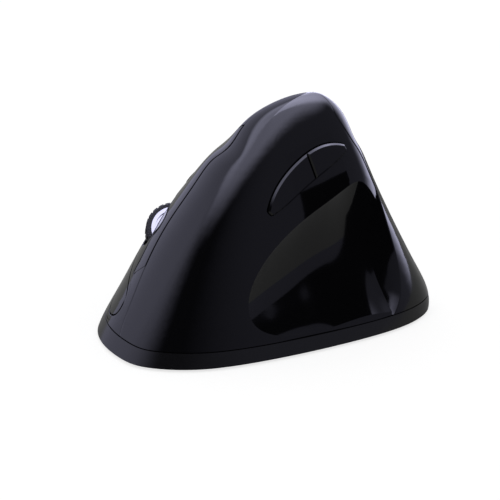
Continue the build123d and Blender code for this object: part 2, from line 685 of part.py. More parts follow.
with BuildPart() as scroll_wheel_hub:
    with BuildSketch(wheel_plane):
        Circle(HUB_RADIUS)
    extrude(amount=WHEEL_WIDTH / 2, both=True)
    with BuildSketch(wheel_plane.offset(WHEEL_WIDTH / 2)):
        Circle(HUB_RADIUS - HUB_RIM)
    extrude(amount=-HUB_DISH, mode=Mode.SUBTRACT)
    with BuildSketch(wheel_plane.offset(-WHEEL_WIDTH / 2)):
        Circle(HUB_RADIUS - HUB_RIM)
    extrude(amount=HUB_DISH, mode=Mode.SUBTRACT)
    with BuildSketch(wheel_plane.offset(-ARM_INNER - ARM_THICKNESS)):
        Circle(AXLE_RADIUS)
    extrude(amount=2 * (ARM_INNER + ARM_THICKNESS) + AXLE_STUB)
scroll_wheel_hub.part.label = "scroll_wheel_hub"
export_step(scroll_wheel_hub.part, "parts/scroll_wheel_hub.step")

with BuildPart() as scroll_wheel_tyre:
    with BuildSketch(wheel_plane):
        Circle(WHEEL_RADIUS)
        Circle(HUB_RADIUS, mode=Mode.SUBTRACT)
    extrude(amount=TYRE_WIDTH / 2, both=True)
    chamfer(scroll_wheel_tyre.edges().filter_by(GeomType.CIRCLE).sort_by(SortBy.RADIUS)[-2:], TYRE_EDGE)
    with BuildSketch(wheel_plane):
        with PolarLocations(WHEEL_RADIUS, TREAD_GROOVES):
            Rectangle(2 * GROOVE_DEPTH, GROOVE_WIDTH)
    extrude(amount=TYRE_WIDTH / 2, both=True, mode=Mode.SUBTRACT)
scroll_wheel_tyre.part.label = "scroll_wheel_tyre"
export_step(scroll_wheel_tyre.part, "parts/scroll_wheel_tyre.step")

with BuildPart() as wheel_cradle:
    with BuildSketch(finger_plane.offset(CRADLE_BOTTOM)):
        with Locations((WHEEL_X, WHEEL_Y)):
            Rectangle(2 * (CRADLE_PIN_REACH + CRADLE_END), 2 * (ARM_INNER + ARM_THICKNESS))
            Rectangle(2 * (CRADLE_PIN_REACH - CRADLE_END), 2 * ARM_INNER, mode=Mode.SUBTRACT)
        with Locations(*PIN_SPOTS):
            Circle(PIN_RADIUS + 2 * RUNNING_FIT, mode=Mode.SUBTRACT)
    extrude(amount=CRADLE_TOP - CRADLE_BOTTOM)
    for start in (ARM_INNER, -ARM_INNER - ARM_THICKNESS):
        with BuildSketch(wheel_plane.offset(start)):
            Circle(ARM_HEAD_RADIUS)
            Rectangle(ARM_WIDTH, WHEEL_Z - CRADLE_BOTTOM, align=(Align.CENTER, Align.MAX))
            Circle(AXLE_RADIUS + RUNNING_FIT, mode=Mode.SUBTRACT)
        extrude(amount=ARM_THICKNESS)
wheel_cradle.part.label = "wheel_cradle"
export_step(wheel_cradle.part, "parts/wheel_cradle.step")

with BuildPart() as wheel_encoder:
    with BuildSketch(wheel_plane.offset(ARM_INNER + ARM_THICKNESS)):
        with Locations((0, -ENCODER_DROP)):
            Rectangle(*ENCODER_SIZE)
        Circle(AXLE_RADIUS + RUNNING_FIT, mode=Mode.SUBTRACT)
    extrude(amount=ENCODER_THICKNESS)
wheel_encoder.part.label = "wheel_encoder"
export_step(wheel_encoder.part, "parts/wheel_encoder.step")

# Speed button behind the wheel
with BuildSketch() as speed_outline:
    with Locations((SPEED_X, WHEEL_Y)):
        SlotOverall(SPEED_LENGTH, SPEED_WIDTH)
with BuildPart() as speed_button:
    add(body_form(-SPEED_RISE) & prism(speed_outline.sketch, finger_plane, SPEED_CAP_DEPTH, SKIN_HIGH))
    with BuildSketch(finger_plane.offset(SPEED_LIP_DEPTH)):
        with Locations((SPEED_X, WHEEL_Y)):
            SlotOverall(SPEED_LENGTH + 2 * SPEED_LIP, SPEED_WIDTH + 2 * SPEED_LIP)
    extrude(amount=SPEED_LIP_THICKNESS)
    with BuildSketch(finger_plane.offset(SPEED_LIP_DEPTH)):
        with Locations((SPEED_X, WHEEL_Y)):
            Circle(RIB_RADIUS)
    extrude(amount=BOARD_TOP + TACT_HEIGHT + SPEED_TRAVEL + SEAM_GAP - SPEED_LIP_DEPTH)
speed_button.part.label = "speed_button"
export_step(speed_button.part, "parts/speed_button.step")

# Thumb buttons: raised almond halves with a flange inside and a stem to their switch


def almond_half(grow, forward):
    """One half of the almond outline, grown or drawn in, on its side of the split."""
    far = 30 if forward else -40
    shift = SEAM_GAP / 2 if forward else -SEAM_GAP / 2
    with BuildSketch() as half:
        add(grown(almond.sketch, grow))
        with BuildSketch(mode=Mode.PRIVATE) as side:
            with BuildLine():
                Polyline((-4.9 + shift, 66), (-9.7 + shift, 46), (far, 20), (far, 80), (-4.9 + shift, 66))
            make_face()
        add(side.sketch, mode=Mode.INTERSECT)
    return half.sketch


cap_layer = body_form(-THUMB_RISE) - body_form(WALL_INSET + THUMB_CAP_DEPTH)
flange_layer = body_form(WALL_INSET + THUMB_LIP_TOP) - body_form(WALL_INSET + THUMB_CAP_DEPTH)
THUMB_SWITCH_END = THUMB_BOARD_X - THUMB_SWITCH_HEIGHT - THUMB_SWITCH_BUTTON
THUMB_STEM_END = THUMB_SWITCH_END - THUMB_TRAVEL - MOVING_GAP
THUMB_BUTTONS = {"forward_button": (True, FORWARD_SPOT), "back_button": (False, BACK_SPOT)}
for name, (forward, stem_spot) in THUMB_BUTTONS.items():
    cap = cap_layer & prism(almond_half(-SEAM_GAP, forward), Plane.YZ, -FAR, THUMB_BOARD_X)
    flange = flange_layer & prism(almond_half(THUMB_LIP, forward), Plane.YZ, -FAR, THUMB_BOARD_X)
    with BuildPart() as thumb_button:
        add(cap)
        front_face = thumb_button.faces().filter_by(GeomType.BSPLINE).sort_by(Axis.X)[0]
        chamfer(front_face.outer_wire().edges(), THUMB_BUTTON_BEVEL)
        add(flange)
        with BuildSketch(Plane.YZ.offset(THUMB_STEM_END)):
            with Locations(stem_spot):
                Circle(THUMB_STEM_RADIUS)
        extrude(amount=-THUMB_STEM_LENGTH)
    thumb_button.part.label = name
    export_step(thumb_button.part, f"parts/{name}.step")

with BuildPart() as thumb_board:
    with BuildSketch(Plane.YZ.offset(THUMB_BOARD_X)):
        with Locations(THUMB_BOARD_CENTRE):
            RectangleRounded(*THUMB_BOARD_SIZE, THUMB_BOARD_CORNER)
    extrude(amount=BOARD_THICKNESS)
thumb_board.part.label = "thumb_board"
export_step(thumb_board.part, "parts/thumb_board.step")

for name, spot in (("forward_switch", FORWARD_SPOT), ("back_switch", BACK_SPOT)):
    with BuildPart() as thumb_switch:
        with BuildSketch(Plane.YZ.offset(THUMB_BOARD_X)):
            with Locations(spot):
                Rectangle(*THUMB_SWITCH_SIZE)
        extrude(amount=-THUMB_SWITCH_HEIGHT)
        with BuildSketch(Plane.YZ.offset(THUMB_SWITCH_END)):
            with Locations(spot):
                Circle(THUMB_SWITCH_BUTTON_RADIUS)
        extrude(amount=THUMB_SWITCH_BUTTON)
    thumb_switch.part.label = name
    export_step(thumb_switch.part, f"parts/{name}.step")

# Main board, optical sensor and its lens
with BuildPart() as main_board:
    with BuildSketch(Plane.XY.offset(MAIN_BOARD_BOTTOM)):
        with Locations(MAIN_BOARD_CENTRE):
            RectangleRounded(*MAIN_BOARD_SIZE, MAIN_BOARD_CORNER)
        with Locations(*LEG_SPOTS):
            Circle(LEG_RADIUS + 2 * SEAM_GAP, mode=Mode.SUBTRACT)
    extrude(amount=MAIN_BOARD_THICKNESS)
main_board.part.label = "main_board"
export_step(main_board.part, "parts/main_board.step")

with BuildPart() as sensor_lens:
    with BuildSketch(Plane.XY.offset(FLOOR_TOP)):
        with Locations((0, SENSOR_Y)):
            Rectangle(*LENS_BASE)
    extrude(amount=LENS_THICKNESS)
    with BuildSketch(Plane.XY.offset(LENS_EYE_BOTTOM)):
        with Locations((0, SENSOR_Y)):
            SlotOverall(*LENS_EYE)
    extrude(amount=FLOOR_TOP - LENS_EYE_BOTTOM)
sensor_lens.part.label = "sensor_lens"
export_step(sensor_lens.part, "parts/sensor_lens.step")

with BuildPart() as sensor_chip:
    with BuildSketch(Plane.XY.offset(FLOOR_TOP + LENS_THICKNESS)):
        with Locations((0, SENSOR_Y)):
            Rectangle(*CHIP_SIZE)
    extrude(amount=MAIN_BOARD_BOTTOM - FLOOR_TOP - LENS_THICKNESS)
sensor_chip.part.label = "sensor_chip"
export_step(sensor_chip.part, "parts/sensor_chip.step")

# Power switch: housing on the floor, knob through the underside
with BuildPart() as power_switch_body:
    with BuildSketch(Plane.XY.offset(FLOOR_TOP)):
        with Locations((SWITCH_X, SWITCH_Y)):
            Rectangle(*SWITCH_BODY)
    extrude(amount=MAIN_BOARD_BOTTOM - FLOOR_TOP)
    with BuildSketch(Plane.XY.offset(FLOOR_TOP)):
        with Locations((SWITCH_X, SWITCH_Y)):
            Rectangle(COLLAR_SIZE[0] + 2 * SEAM_GAP, COLLAR_SIZE[1] + SWITCH_TRAVEL + 2 * SEAM_GAP)
    extrude(amount=COLLAR_LIFT + COLLAR_HEIGHT + SEAM_GAP, mode=Mode.SUBTRACT)
power_switch_body.part.label = "power_switch_body"
export_step(power_switch_body.part, "parts/power_switch_body.step")

KNOB_Y = SWITCH_Y - SWITCH_TRAVEL / 2
with BuildPart() as power_switch_knob:
    with BuildSketch(Plane.XY.offset(KNOB_BOTTOM)):
        with Locations((SWITCH_X, KNOB_Y)):
            Rectangle(KNOB_SIZE, KNOB_SIZE)
    extrude(amount=KNOB_HEIGHT)
    with BuildSketch(Plane.XY.offset(FLOOR_TOP + COLLAR_LIFT)):
        with Locations((SWITCH_X, KNOB_Y)):
            Rectangle(*COLLAR_SIZE)
    extrude(amount=COLLAR_HEIGHT)
power_switch_knob.part.label = "power_switch_knob"
export_step(power_switch_knob.part, "parts/power_switch_knob.step")

# Cells, contacts and the cover over them
with BuildPart() as batteries:
    for row, way in ((CELL_PITCH / 2, 1), (-CELL_PITCH / 2, -1)):
        start = BAY_CENTRE[0] - way * (CELL_BODY + CELL_NUB) / 2
        across = Plane(origin=(start, BAY_CENTRE[1] + row, CELL_HEIGHT), x_dir=(0, 1, 0), z_dir=(way, 0, 0))
        with BuildSketch(across):
            Circle(CELL_RADIUS)
        extrude(amount=CELL_BODY)
        with BuildSketch(across.offset(CELL_BODY)):
            Circle(CELL_NUB_RADIUS)
        extrude(amount=CELL_NUB)
batteries.part.label = "batteries"
export_step(batteries.part, "parts/batteries.step")

CONTACT_BUMP = (BAY_LENGTH - CELL_BODY - CELL_NUB) / 2 - CONTACT_THICKNESS - RUNNING_FIT
with BuildPart() as battery_contacts:
    for end in (1, -1):
        for row in (CELL_PITCH / 2, -CELL_PITCH / 2):
            spot = (BAY_CENTRE[0] + end * BAY_LENGTH / 2, BAY_CENTRE[1] + row, CELL_HEIGHT)
            face = Plane(origin=spot, x_dir=(0, 1, 0), z_dir=(-end, 0, 0))
            with BuildSketch(face):
                Rectangle(CONTACT_SIZE, CONTACT_SIZE)
            extrude(amount=CONTACT_THICKNESS)
            with BuildSketch(face.offset(CONTACT_THICKNESS)):
                Circle(CONTACT_BUMP_RADIUS)
            extrude(amount=CONTACT_BUMP, taper=CONTACT_TAPER)
battery_contacts.part.label = "battery_contacts"
export_step(battery_contacts.part, "parts/battery_contacts.step")

with BuildPart() as battery_cover:
    with BuildSketch(Plane.XY.offset(FOOT_HEIGHT)):
        with Locations(BAY_CENTRE):
            RectangleRounded(BAY_LENGTH + 2 * COVER_LEDGE - 2 * SEAM_GAP,
                             BAY_WIDTH + 2 * COVER_LEDGE - 2 * SEAM_GAP, COVER_CORNER - SEAM_GAP)
    extrude(amount=COVER_THICKNESS)
    with BuildSketch(Plane.XY.offset(FOOT_HEIGHT)):
        with GridLocations(0, GRIP_PITCH, 1, 3):
            with Locations((BAY_CENTRE[0], BAY_CENTRE[1] + BAY_WIDTH / 2 - GRIP_FROM_EDGE)):
                SlotOverall(GRIP_LENGTH, GRIP_WIDTH)
    extrude(amount=GRIP_DEPTH, mode=Mode.SUBTRACT)
battery_cover.part.label = "battery_cover"
export_step(battery_cover.part, "parts/battery_cover.step")

# Receiver: plug shell and its cap
with BuildPart() as receiver_cap:
    with BuildSketch(Plane.XY.offset(RECEIVER_BOTTOM)):
        with Locations((RECEIVER_X, RECEIVER_Y)):
            RectangleRounded(RECEIVER_BODY[0], RECEIVER_BODY[1], RECEIVER_CORNER)
    extrude(amount=RECEIVER_BODY[2])
receiver_cap.part.label = "receiver_cap"
export_step(receiver_cap.part, "parts/receiver_cap.step")

with BuildPart() as receiver_plug:
    with BuildSketch(Plane.XY.offset(RECEIVER_BOTTOM + RECEIVER_BODY[2])):
        with Locations((RECEIVER_X, RECEIVER_Y)):
            Rectangle(RECEIVER_PLUG[0], RECEIVER_PLUG[1])
    extrude(amount=RECEIVER_PLUG[2])
    with BuildSketch(Plane.XY.offset(PLUG_TOP)):
        with Locations((RECEIVER_X - PLUG_MOUTH / 2, RECEIVER_Y)):
            Rectangle(PLUG_MOUTH, RECEIVER_PLUG[1] - 2 * PLUG_SHELL)
    extrude(amount=-PLUG_MOUTH_DEPTH, mode=Mode.SUBTRACT)
receiver_plug.part.label = "receiver_plug"
export_step(receiver_plug.part, "parts/receiver_plug.step")

# Screws from below into the shells' pillars
with BuildPart() as casing_screws:
    for spot in SCREW_SPOTS:
        head_bottom = FOOT_HEIGHT + SCREW_RECESS
        with BuildSketch(Plane.XY.offset(head_bottom)):
            with Locations(spot):
                Circle(SCREW_HEAD)
                Rectangle(DRIVE_LENGTH, DRIVE_WIDTH, mode=Mode.SUBTRACT)
                Rectangle(DRIVE_WIDTH, DRIVE_LENGTH, mode=Mode.SUBTRACT)
        extrude(amount=SCREW_HEAD_HEIGHT)
        with BuildSketch(Plane.XY.offset(head_bottom + DRIVE_DEPTH)):
            with Locations(spot):
                Circle(SCREW_SHANK)
        extrude(amount=SCREW_LENGTH)
casing_screws.part.label = "casing_screws"
export_step(casing_screws.part, "parts/casing_screws.step")


def foot_form(low_y, high_y, inset, width):
    """A curved glide strip that follows the underside's edge between two places."""
    base = STATIONS[0]
    around = Solid.extrude(Face(outline(ring(0.0, *base[1:], inset))), Vector(0, 0, FOOT_HEIGHT))
    within = Solid.extrude(Face(outline(ring(0.0, *base[1:], inset + width))), Vector(0, 0, FOOT_HEIGHT))
    band = Solid.make_box(2 * FAR, high_y - low_y, FOOT_HEIGHT).moved(Location((-FAR, low_y, 0)))
    return (around - within) & band


with BuildPart() as front_foot:
    add(foot_form(FRONT_FOOT_START, FAR, FOOT_INSET, FRONT_FOOT_WIDTH))
front_foot.part.label = "front_foot"
export_step(front_foot.part, "parts/front_foot.step")

with BuildPart() as rear_foot:
    add(foot_form(-FAR, REAR_FOOT_START, FOOT_INSET, REAR_FOOT_WIDTH))
rear_foot.part.label = "rear_foot"
export_step(rear_foot.part, "parts/rear_foot.step")
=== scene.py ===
"""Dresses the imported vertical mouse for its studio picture.

Metres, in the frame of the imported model: +Y is the front, -X the thumb side, +Z up.
"""
from math import cos, pi, radians, sin, sqrt

import bmesh
import bpy
import numpy as np
from mathutils import Matrix, Vector
from mathutils.bvhtree import BVHTree


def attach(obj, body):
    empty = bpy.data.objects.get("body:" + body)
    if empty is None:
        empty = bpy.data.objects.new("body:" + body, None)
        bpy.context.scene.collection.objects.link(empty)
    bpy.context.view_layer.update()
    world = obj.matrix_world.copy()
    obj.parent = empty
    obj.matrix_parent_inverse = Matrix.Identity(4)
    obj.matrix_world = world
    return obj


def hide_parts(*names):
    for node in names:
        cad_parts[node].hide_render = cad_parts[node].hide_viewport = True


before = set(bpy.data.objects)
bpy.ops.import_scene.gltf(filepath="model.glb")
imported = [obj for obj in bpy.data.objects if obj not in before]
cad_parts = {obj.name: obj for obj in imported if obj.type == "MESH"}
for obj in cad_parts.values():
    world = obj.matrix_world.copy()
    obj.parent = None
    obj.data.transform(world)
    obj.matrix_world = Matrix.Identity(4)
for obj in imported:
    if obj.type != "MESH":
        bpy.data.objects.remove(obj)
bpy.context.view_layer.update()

bl_info = {
    "name": "Vertical mouse",
    "version": (1, 0, 0),
    "blender": (4, 5, 0),
    "location": "View3D > Sidebar > Mouse",
    "description": "Builds the finish, the moulded skins and the studio of a vertical mouse",
    "category": "Object",
}

MM = 0.001

# Level outlines of the moulded body, in millimetres:
# height, front, rear, thumb side, finger side, nose x, tail x
BODY_LEVELS = (
    (0.8, 57.0, -57.0, -39.5, 39.5, -10.0, -13.0),
    (6.0, 54.0, -56.2, -38.6, 39.4, -11.0, -14.5),
    (15.0, 48.0, -51.5, -35.2, 38.0, -13.5, -16.0),
    (26.0, 41.6, -45.0, -31.5, 34.0, -15.0, -16.5),
    (37.0, 34.4, -39.6, -28.2, 28.0, -15.5, -16.5),
    (48.0, 25.8, -34.5, -25.0, 21.0, -15.0, -16.0),
    (58.0, 18.0, -30.2, -21.8, 12.5, -13.5, -14.5),
    (66.0, 10.5, -27.0, -18.6, 5.0, -11.5, -12.5),
    (71.5, 4.0, -24.4, -15.4, -0.6, -10.0, -11.0),
)
BODY_TOP = 76.0
BODY_APEX = (-8.0, -17.0)

# How square each side of a level outline is: 2 would make it an ellipse
THUMB_ROUNDNESS = 2.6
FINGER_ROUNDNESS = 2.2

# The mesh of the body's form: points on a level, how far it reaches below the lowest level, the
# steps from the highest level to the summit, and a place well inside it, in metres
GUIDE_POINTS = 64
GUIDE_SKIRT = -0.25
GUIDE_CAP_STEPS = (0.75, 0.5, 0.25)
GUIDE_INSIDE = Vector((0.0, 0.0, 0.03))

# The evened form: how smooth each measure runs over the height, how far the front is drawn in at
# the highest level and from which height on, and how often its normals are averaged
EVEN_DEGREE = 4
CREST_TRIM = 1.1
CREST_TRIM_START = 30.0
NORMAL_ROUNDS = 40

# A skin settles on the evened form fully down to one depth and not at all below another, and the
# settling sets in over a stretch of height
SETTLE_DEPTHS = (2.8, 6.0)
SETTLE_FROM = 9.0
SETTLE_OVER = 16.0

# When a patch of a skin counts as following the body's form, the scoop or the rim between them:
# how well its normals agree, and the mean distance allowed, in metres
BODY_AGREEMENT = 0.85
SCOOP_AGREEMENT = 0.9
BODY_REACH = 0.0012
SCOOP_REACH = 0.0003
RIM_REACH = 0.00015
OFF_COURSE = 0.01

# Joining the corners of a packed skin, in metres, and the angle above which an edge stays sharp
MERGE_DISTANCE = 1e-6
DEGENERATE_LENGTH = 1e-7
SHARP_ANGLE = radians(32.0)

# The horn that hollows the thumb side, in millimetres, front to rear:
# place along the mouse, centre x, centre height, radius
SCOOP_LEVELS = (
    (34.0, -55.0, 20.4, 18.2),
    (24.0, -54.5, 23.2, 22.0),
    (14.0, -54.4, 26.0, 25.3),
    (2.0, -55.8, 29.9, 29.6),
    (-12.0, -61.5, 35.4, 37.1),
    (-26.0, -69.5, 41.1, 47.3),
    (-40.0, -82.2, 38.3, 57.5),
    (-56.0, -91.7, 31.2, 74.5),
)

# The photograph's camera: direction to it, distance and where the aim falls in the frame
CAMERA_BACK = Vector((-0.819, 0.496, 0.288)).normalized()
CAMERA_DISTANCE = 0.520
CAMERA_AIM = Vector((0.0, 0.0, 0.035))
CAMERA_LENS = 113.5
CAMERA_SENSOR = 36.0
CAMERA_SHIFT = (-0.0086, -0.0696)
CAMERA_NEAR = 0.01

# The studio's panels as they stand around the mouse: the turn from the camera's side (positive
# towards the mouse's rear) or the height over which each one fades, and its brightness
PANEL_FRONT_EDGE = (radians(-88), radians(-32))
PANEL_FRONT_FADE = (radians(-132), radians(-100))
PANEL_FRONT_LEVELS = (0.5, 0.78)
PANEL_REAR_EDGE = (radians(103), radians(132))
PANEL_REAR_LEVEL = 2.3
PANEL_OVERHEAD_EDGE = (sin(radians(39)), sin(radians(62)))
PANEL_OVERHEAD_LEVEL = 1.9
ROOM_SIDE_FADE = (radians(-10), radians(55))
ROOM_SIDE_LEVELS = (0.03, 0.2)
ROOM_TINT = (0.95, 0.95, 1.27, 1.0)
WHITE = (1.0, 1.0, 1.0, 1.0)

# The cards that the scoop mirrors stand upright here, along this line. Each has a brightness, a
# stretch along the line and a stretch of height, in millimetres
FLAG_PLACE = Vector((-0.05392, -0.03134, 0.0))
FLAG_ALONG = Vector((0.6534, -0.757, 0.0))
DARK_FLAG = (0.015, (-10.3, 18.0), (30.5, 60.0))
GREY_FLAG = (0.19, (-14.0, 18.0), (60.0, 84.0))

# The pale floor: its shade, what it glows to the camera and how far it lies under the feet
FLOOR_SHADE = (0.7, 0.7, 0.7, 1.0)
FLOOR_GLOW = 0.75
FLOOR_DROP = 0.0001

# Handling marks: the smears' noise scale, and the depth of the finest relief, in metres
SMEAR_SCALE = 45.0
RELIEF_DEPTH = 0.00005


class MouseFinish(bpy.types.PropertyGroup):
    """Colours and roughness of the mouse's plastics, rubber and metal."""

    shell_colour: bpy.props.FloatVectorProperty(
        name="Shell colour", description="Colour of the glossy moulded shells", subtype="COLOR",
        size=4, min=0.0, max=1.0, default=(0.0016, 0.0016, 0.0019, 1.0))
    shell_roughness: bpy.props.FloatProperty(
        name="Shell roughness", description="Roughness of the polished shells", subtype="FACTOR",
        min=0.0, max=1.0, default=0.07)
    casing_colour: bpy.props.FloatVectorProperty(
        name="Casing colour", description="Colour of the lower casing", subtype="COLOR",
        size=4, min=0.0, max=1.0, default=(0.008, 0.008, 0.009, 1.0))
    tyre_colour: bpy.props.FloatVectorProperty(
        name="Tyre colour", description="Colour of the scroll wheel's rubber", subtype="COLOR",
        size=4, min=0.0, max=1.0, default=(0.02, 0.02, 0.022, 1.0))


class MouseStudio(bpy.types.PropertyGroup):
    """Brightness of the studio around the mouse."""

    fill_level: bpy.props.FloatProperty(
        name="Fill level", description="Brightness of the room for matt surfaces", min=0.0, default=0.4)
    floor_size: bpy.props.FloatProperty(
        name="Floor size", description="Width of the pale floor", unit="LENGTH", min=0.1, default=3.0)


def deselect_all():
    """Leaves nothing selected or active."""
    for thing in bpy.context.selected_objects:
        thing.select_set(False)
    bpy.context.view_layer.objects.active = None


def pick(thing):
    """Makes one object the only selected one."""
    deselect_all()
    thing.select_set(True)
    bpy.context.view_layer.objects.active = thing


# Guides: the true smooth surfaces that the moulded skins follow


def level_points(level, count):
    """Points of one level outline of the body, in metres."""
    height, front, rear, thumb, finger, nose, tail = level
    middle = (front + rear) / 2
    points = []
    for step in range(count):
        turn = 2 * pi * step / count
        forward, right = cos(turn), sin(turn)
        side, roundness = (finger, FINGER_ROUNDNESS) if right >= 0 else (thumb, THUMB_ROUNDNESS)
        tip_x, tip_y = (nose, front) if forward >= 0 else (tail, rear)
        x = tip_x + abs(right) ** (2 / roundness) * (side - tip_x)
        y = middle + abs(forward) ** (2 / roundness) * (tip_y - middle)
        points.append((x * MM, y * MM, height * MM))
    return points


def even_levels():
    """The level outlines with each measure laid along one smooth curve over the height."""
    table = np.array(BODY_LEVELS)
    heights = table[:, 0]
    for column in range(1, table.shape[1]):
        table[:, column] = np.polyval(np.polyfit(heights, table[:, column], EVEN_DEGREE), heights)
    share = np.clip((heights - CREST_TRIM_START) / (heights[-1] - CREST_TRIM_START), 0.0, 1.0)
    table[:, 1] -= CREST_TRIM * share**2
    return [tuple(float(value) for value in row) for row in table]


def body_guide(body_levels):
    """A dense smooth mesh of the body's form, as a search tree with its corner normals."""
    count = GUIDE_POINTS
    last = body_levels[-1]
    apex_x, apex_y = BODY_APEX
    summit = (BODY_TOP, apex_y, apex_y, apex_x, apex_x, apex_x, apex_x)
    skirt = tuple(low + (high - low) * GUIDE_SKIRT for low, high in zip(body_levels[0], body_levels[1]))
    levels = [skirt, *body_levels]
    for share in GUIDE_CAP_STEPS:
        mixed = [a + (b - a) * share for a, b in zip(summit, last)]
        mixed[0] = BODY_TOP - (BODY_TOP - last[0]) * share**2
        levels.append(tuple(mixed))
    points = [point for level in levels for point in level_points(level, count)]
    faces = [
        (row * count + step, row * count + (step + 1) % count,
         (row + 1) * count + (step + 1) % count, (row + 1) * count + step)
        for row in range(len(levels) - 1) for step in range(count)
    ]
    points.append((apex_x * MM, apex_y * MM, BODY_TOP * MM))
    top_row = (len(levels) - 1) * count
    faces += [(top_row + step, top_row + (step + 1) % count, len(points) - 1) for step in range(count)]
    mesh = bpy.data.meshes.new("body_guide")
    mesh.from_pydata(points, [], faces)
    form = bmesh.new()
    form.from_mesh(mesh)
    bmesh.ops.recalc_face_normals(form, faces=form.faces)
    if form.faces[0].normal.dot(form.faces[0].calc_center_median() - GUIDE_INSIDE) < 0:
        bmesh.ops.reverse_faces(form, faces=form.faces)
    form.to_mesh(mesh)
    form.free()
    guide = bpy.data.objects.new("body_guide", mesh)
    bpy.context.collection.objects.link(guide)
    smooth = guide.modifiers.new("smooth", "SUBSURF")
    smooth.levels = 2
    smooth.render_levels = 2
    dense = guide.evaluated_get(bpy.context.evaluated_depsgraph_get()).to_mesh()
    vertices = [vertex.co.copy() for vertex in dense.vertices]
    polygons = [tuple(polygon.vertices) for polygon in dense.polygons]
    pairs = np.array([tuple(edge.vertices) for edge in dense.edges])
    normals = evened(np.array([tuple(vertex.normal) for vertex in dense.vertices]), pairs)
    guide.to_mesh_clear()
    bpy.data.objects.remove(guide)
    bpy.data.meshes.remove(mesh)
    return BVHTree.FromPolygons(vertices, polygons), vertices, normals, polygons


def evened(normals, pairs):
    """Normals that have been averaged with their neighbours along the mesh's edges many times."""
    for _ in range(NORMAL_ROUNDS):
        total = normals.copy()
        np.add.at(total, pairs[:, 0], normals[pairs[:, 1]])
        np.add.at(total, pairs[:, 1], normals[pairs[:, 0]])
        normals = total / np.linalg.norm(total, axis=1)[:, None]
    return [Vector(normal) for normal in normals]


def guide_normal(guide, point):
    """The body's normal nearest to a point, blended over the face it falls in, and the distance."""
    tree, vertices, normals, polygons = guide
    place, _, index, distance = tree.find_nearest(point)
    never_zero = 1e-10
    blend = Vector()
    for corner in polygons[index]:
        blend += normals[corner] / ((vertices[corner] - place).length_squared + never_zero)
    return blend.normalized(), distance


def guides():
    """The body's form as it is packed, and the evened form that the skins settle on."""
    return body_guide(BODY_LEVELS), body_guide(even_levels())


def clamped(value):
    """A value held between 0 and 1."""
    return min(max(value, 0.0), 1.0)


def settle(mesh, true_guide, guide):
    """Moves a skin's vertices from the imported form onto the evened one, less so deeper inside."""
    full, gone = (depth * MM for depth in SETTLE_DEPTHS)
    for vertex in mesh.vertices:
        near, _, _, distance = true_guide[0].find_nearest(vertex.co)
        target, _, _, _ = guide[0].find_nearest(near)
        share = clamped((gone - distance) / (gone - full))
        rise = clamped((vertex.co.z - SETTLE_FROM * MM) / (SETTLE_OVER * MM))
        vertex.co += (target - near) * share * rise


def scoop_section(y):
    """Centre x, centre height and radius of the scoop's horn at one place, and their slopes."""
    rows = SCOOP_LEVELS
    index = 0
    while index < len(rows) - 2 and y < rows[index + 1][0]:
        index += 1
    before = rows[max(index - 1, 0)]
    start = rows[index]
    end = rows[index + 1]
    after = rows[min(index + 2, len(rows) - 1)]
    span = end[0] - start[0]
    share = (y - start[0]) / span
    values, slopes = [], []
    for column in (1, 2, 3):
        leave = (end[column] - before[column]) / (end[0] - before[0]) * span
        arrive = (after[column] - start[column]) / (after[0] - start[0]) * span
        rise = end[column] - start[column]
        square, cube = 3 * rise - 2 * leave - arrive, leave + arrive - 2 * rise
        values.append(start[column] + share * (leave + share * (square + share * cube)))
        slopes.append((leave + share * (2 * square + 3 * share * cube)) / span)
    return values, slopes


def scoop_normal(point):
    """The scoop's normal at a point, out of the plastic into the scoop, and the distance."""
    x, y, z = point / MM
    (centre_x, centre_z, radius), (slope_x, slope_z, slope_radius) = scoop_section(y)
    across, up = x - centre_x, z - centre_z
    reach = sqrt(across**2 + up**2)
    along = -(across * slope_x + up * slope_z) / reach - slope_radius
    return -Vector((across / reach, along, up / reach)).normalized(), abs(reach - radius) * MM


def tag_patches(form):
    """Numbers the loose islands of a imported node, which are the faces it was built from."""
    layer = form.faces.layers.int.new("patch")
    for face in form.faces:
        face[layer] = -1
    count = 0
    for seed in form.faces:
        if seed[layer] >= 0:
            continue
        seed[layer] = count
        waiting = [seed]
        while waiting:
            for edge in waiting.pop().edges:
                for other in edge.link_faces:
                    if other[layer] < 0:
                        other[layer] = count
                        waiting.append(other)
        count += 1
    return count


def moulded_skin(node, name, body, pair):
    """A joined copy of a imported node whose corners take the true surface's normals."""
    true_guide, guide = pair
    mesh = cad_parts[node].data.copy()
    mesh.name = name
    form = bmesh.new()
    form.from_mesh(mesh)
    count = tag_patches(form)
    bmesh.ops.remove_doubles(form, verts=form.verts, dist=MERGE_DISTANCE)
    bmesh.ops.dissolve_degenerate(form, edges=form.edges, dist=DEGENERATE_LENGTH)
    form.to_mesh(mesh)
    form.free()
    patches = np.zeros(len(mesh.polygons), dtype=np.int32)
    mesh.attributes["patch"].data.foreach_get("value", patches)
    kinds = patch_kinds(mesh, patches, count, true_guide)
    body_side = [
        guide_normal(true_guide, vertex.co)[1] < scoop_normal(vertex.co)[1] for vertex in mesh.vertices
    ]
    settle(mesh, true_guide, guide)
    piece = bpy.data.objects.new(name, mesh)
    bpy.context.collection.objects.link(piece)
    pick(piece)
    if mesh.has_custom_normals:
        bpy.ops.mesh.customdata_custom_splitnormals_clear()
    bpy.ops.object.shade_smooth_by_angle(angle=SHARP_ANGLE)
    corners = [Vector(normal.vector) for normal in mesh.corner_normals]
    for polygon in mesh.polygons:
        kind = kinds[patches[polygon.index]]
        for corner in polygon.loop_indices:
            index = mesh.loops[corner].vertex_index
            point = mesh.vertices[index].co
            if kind == "body" or (kind == "rim" and body_side[index]):
                corners[corner] = guide_normal(guide, point)[0]
            elif kind in ("scoop", "rim"):
                corners[corner] = scoop_normal(point)[0]
    mesh.normals_split_custom_set(corners)
    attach(piece, body)
    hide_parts(node)
    return piece


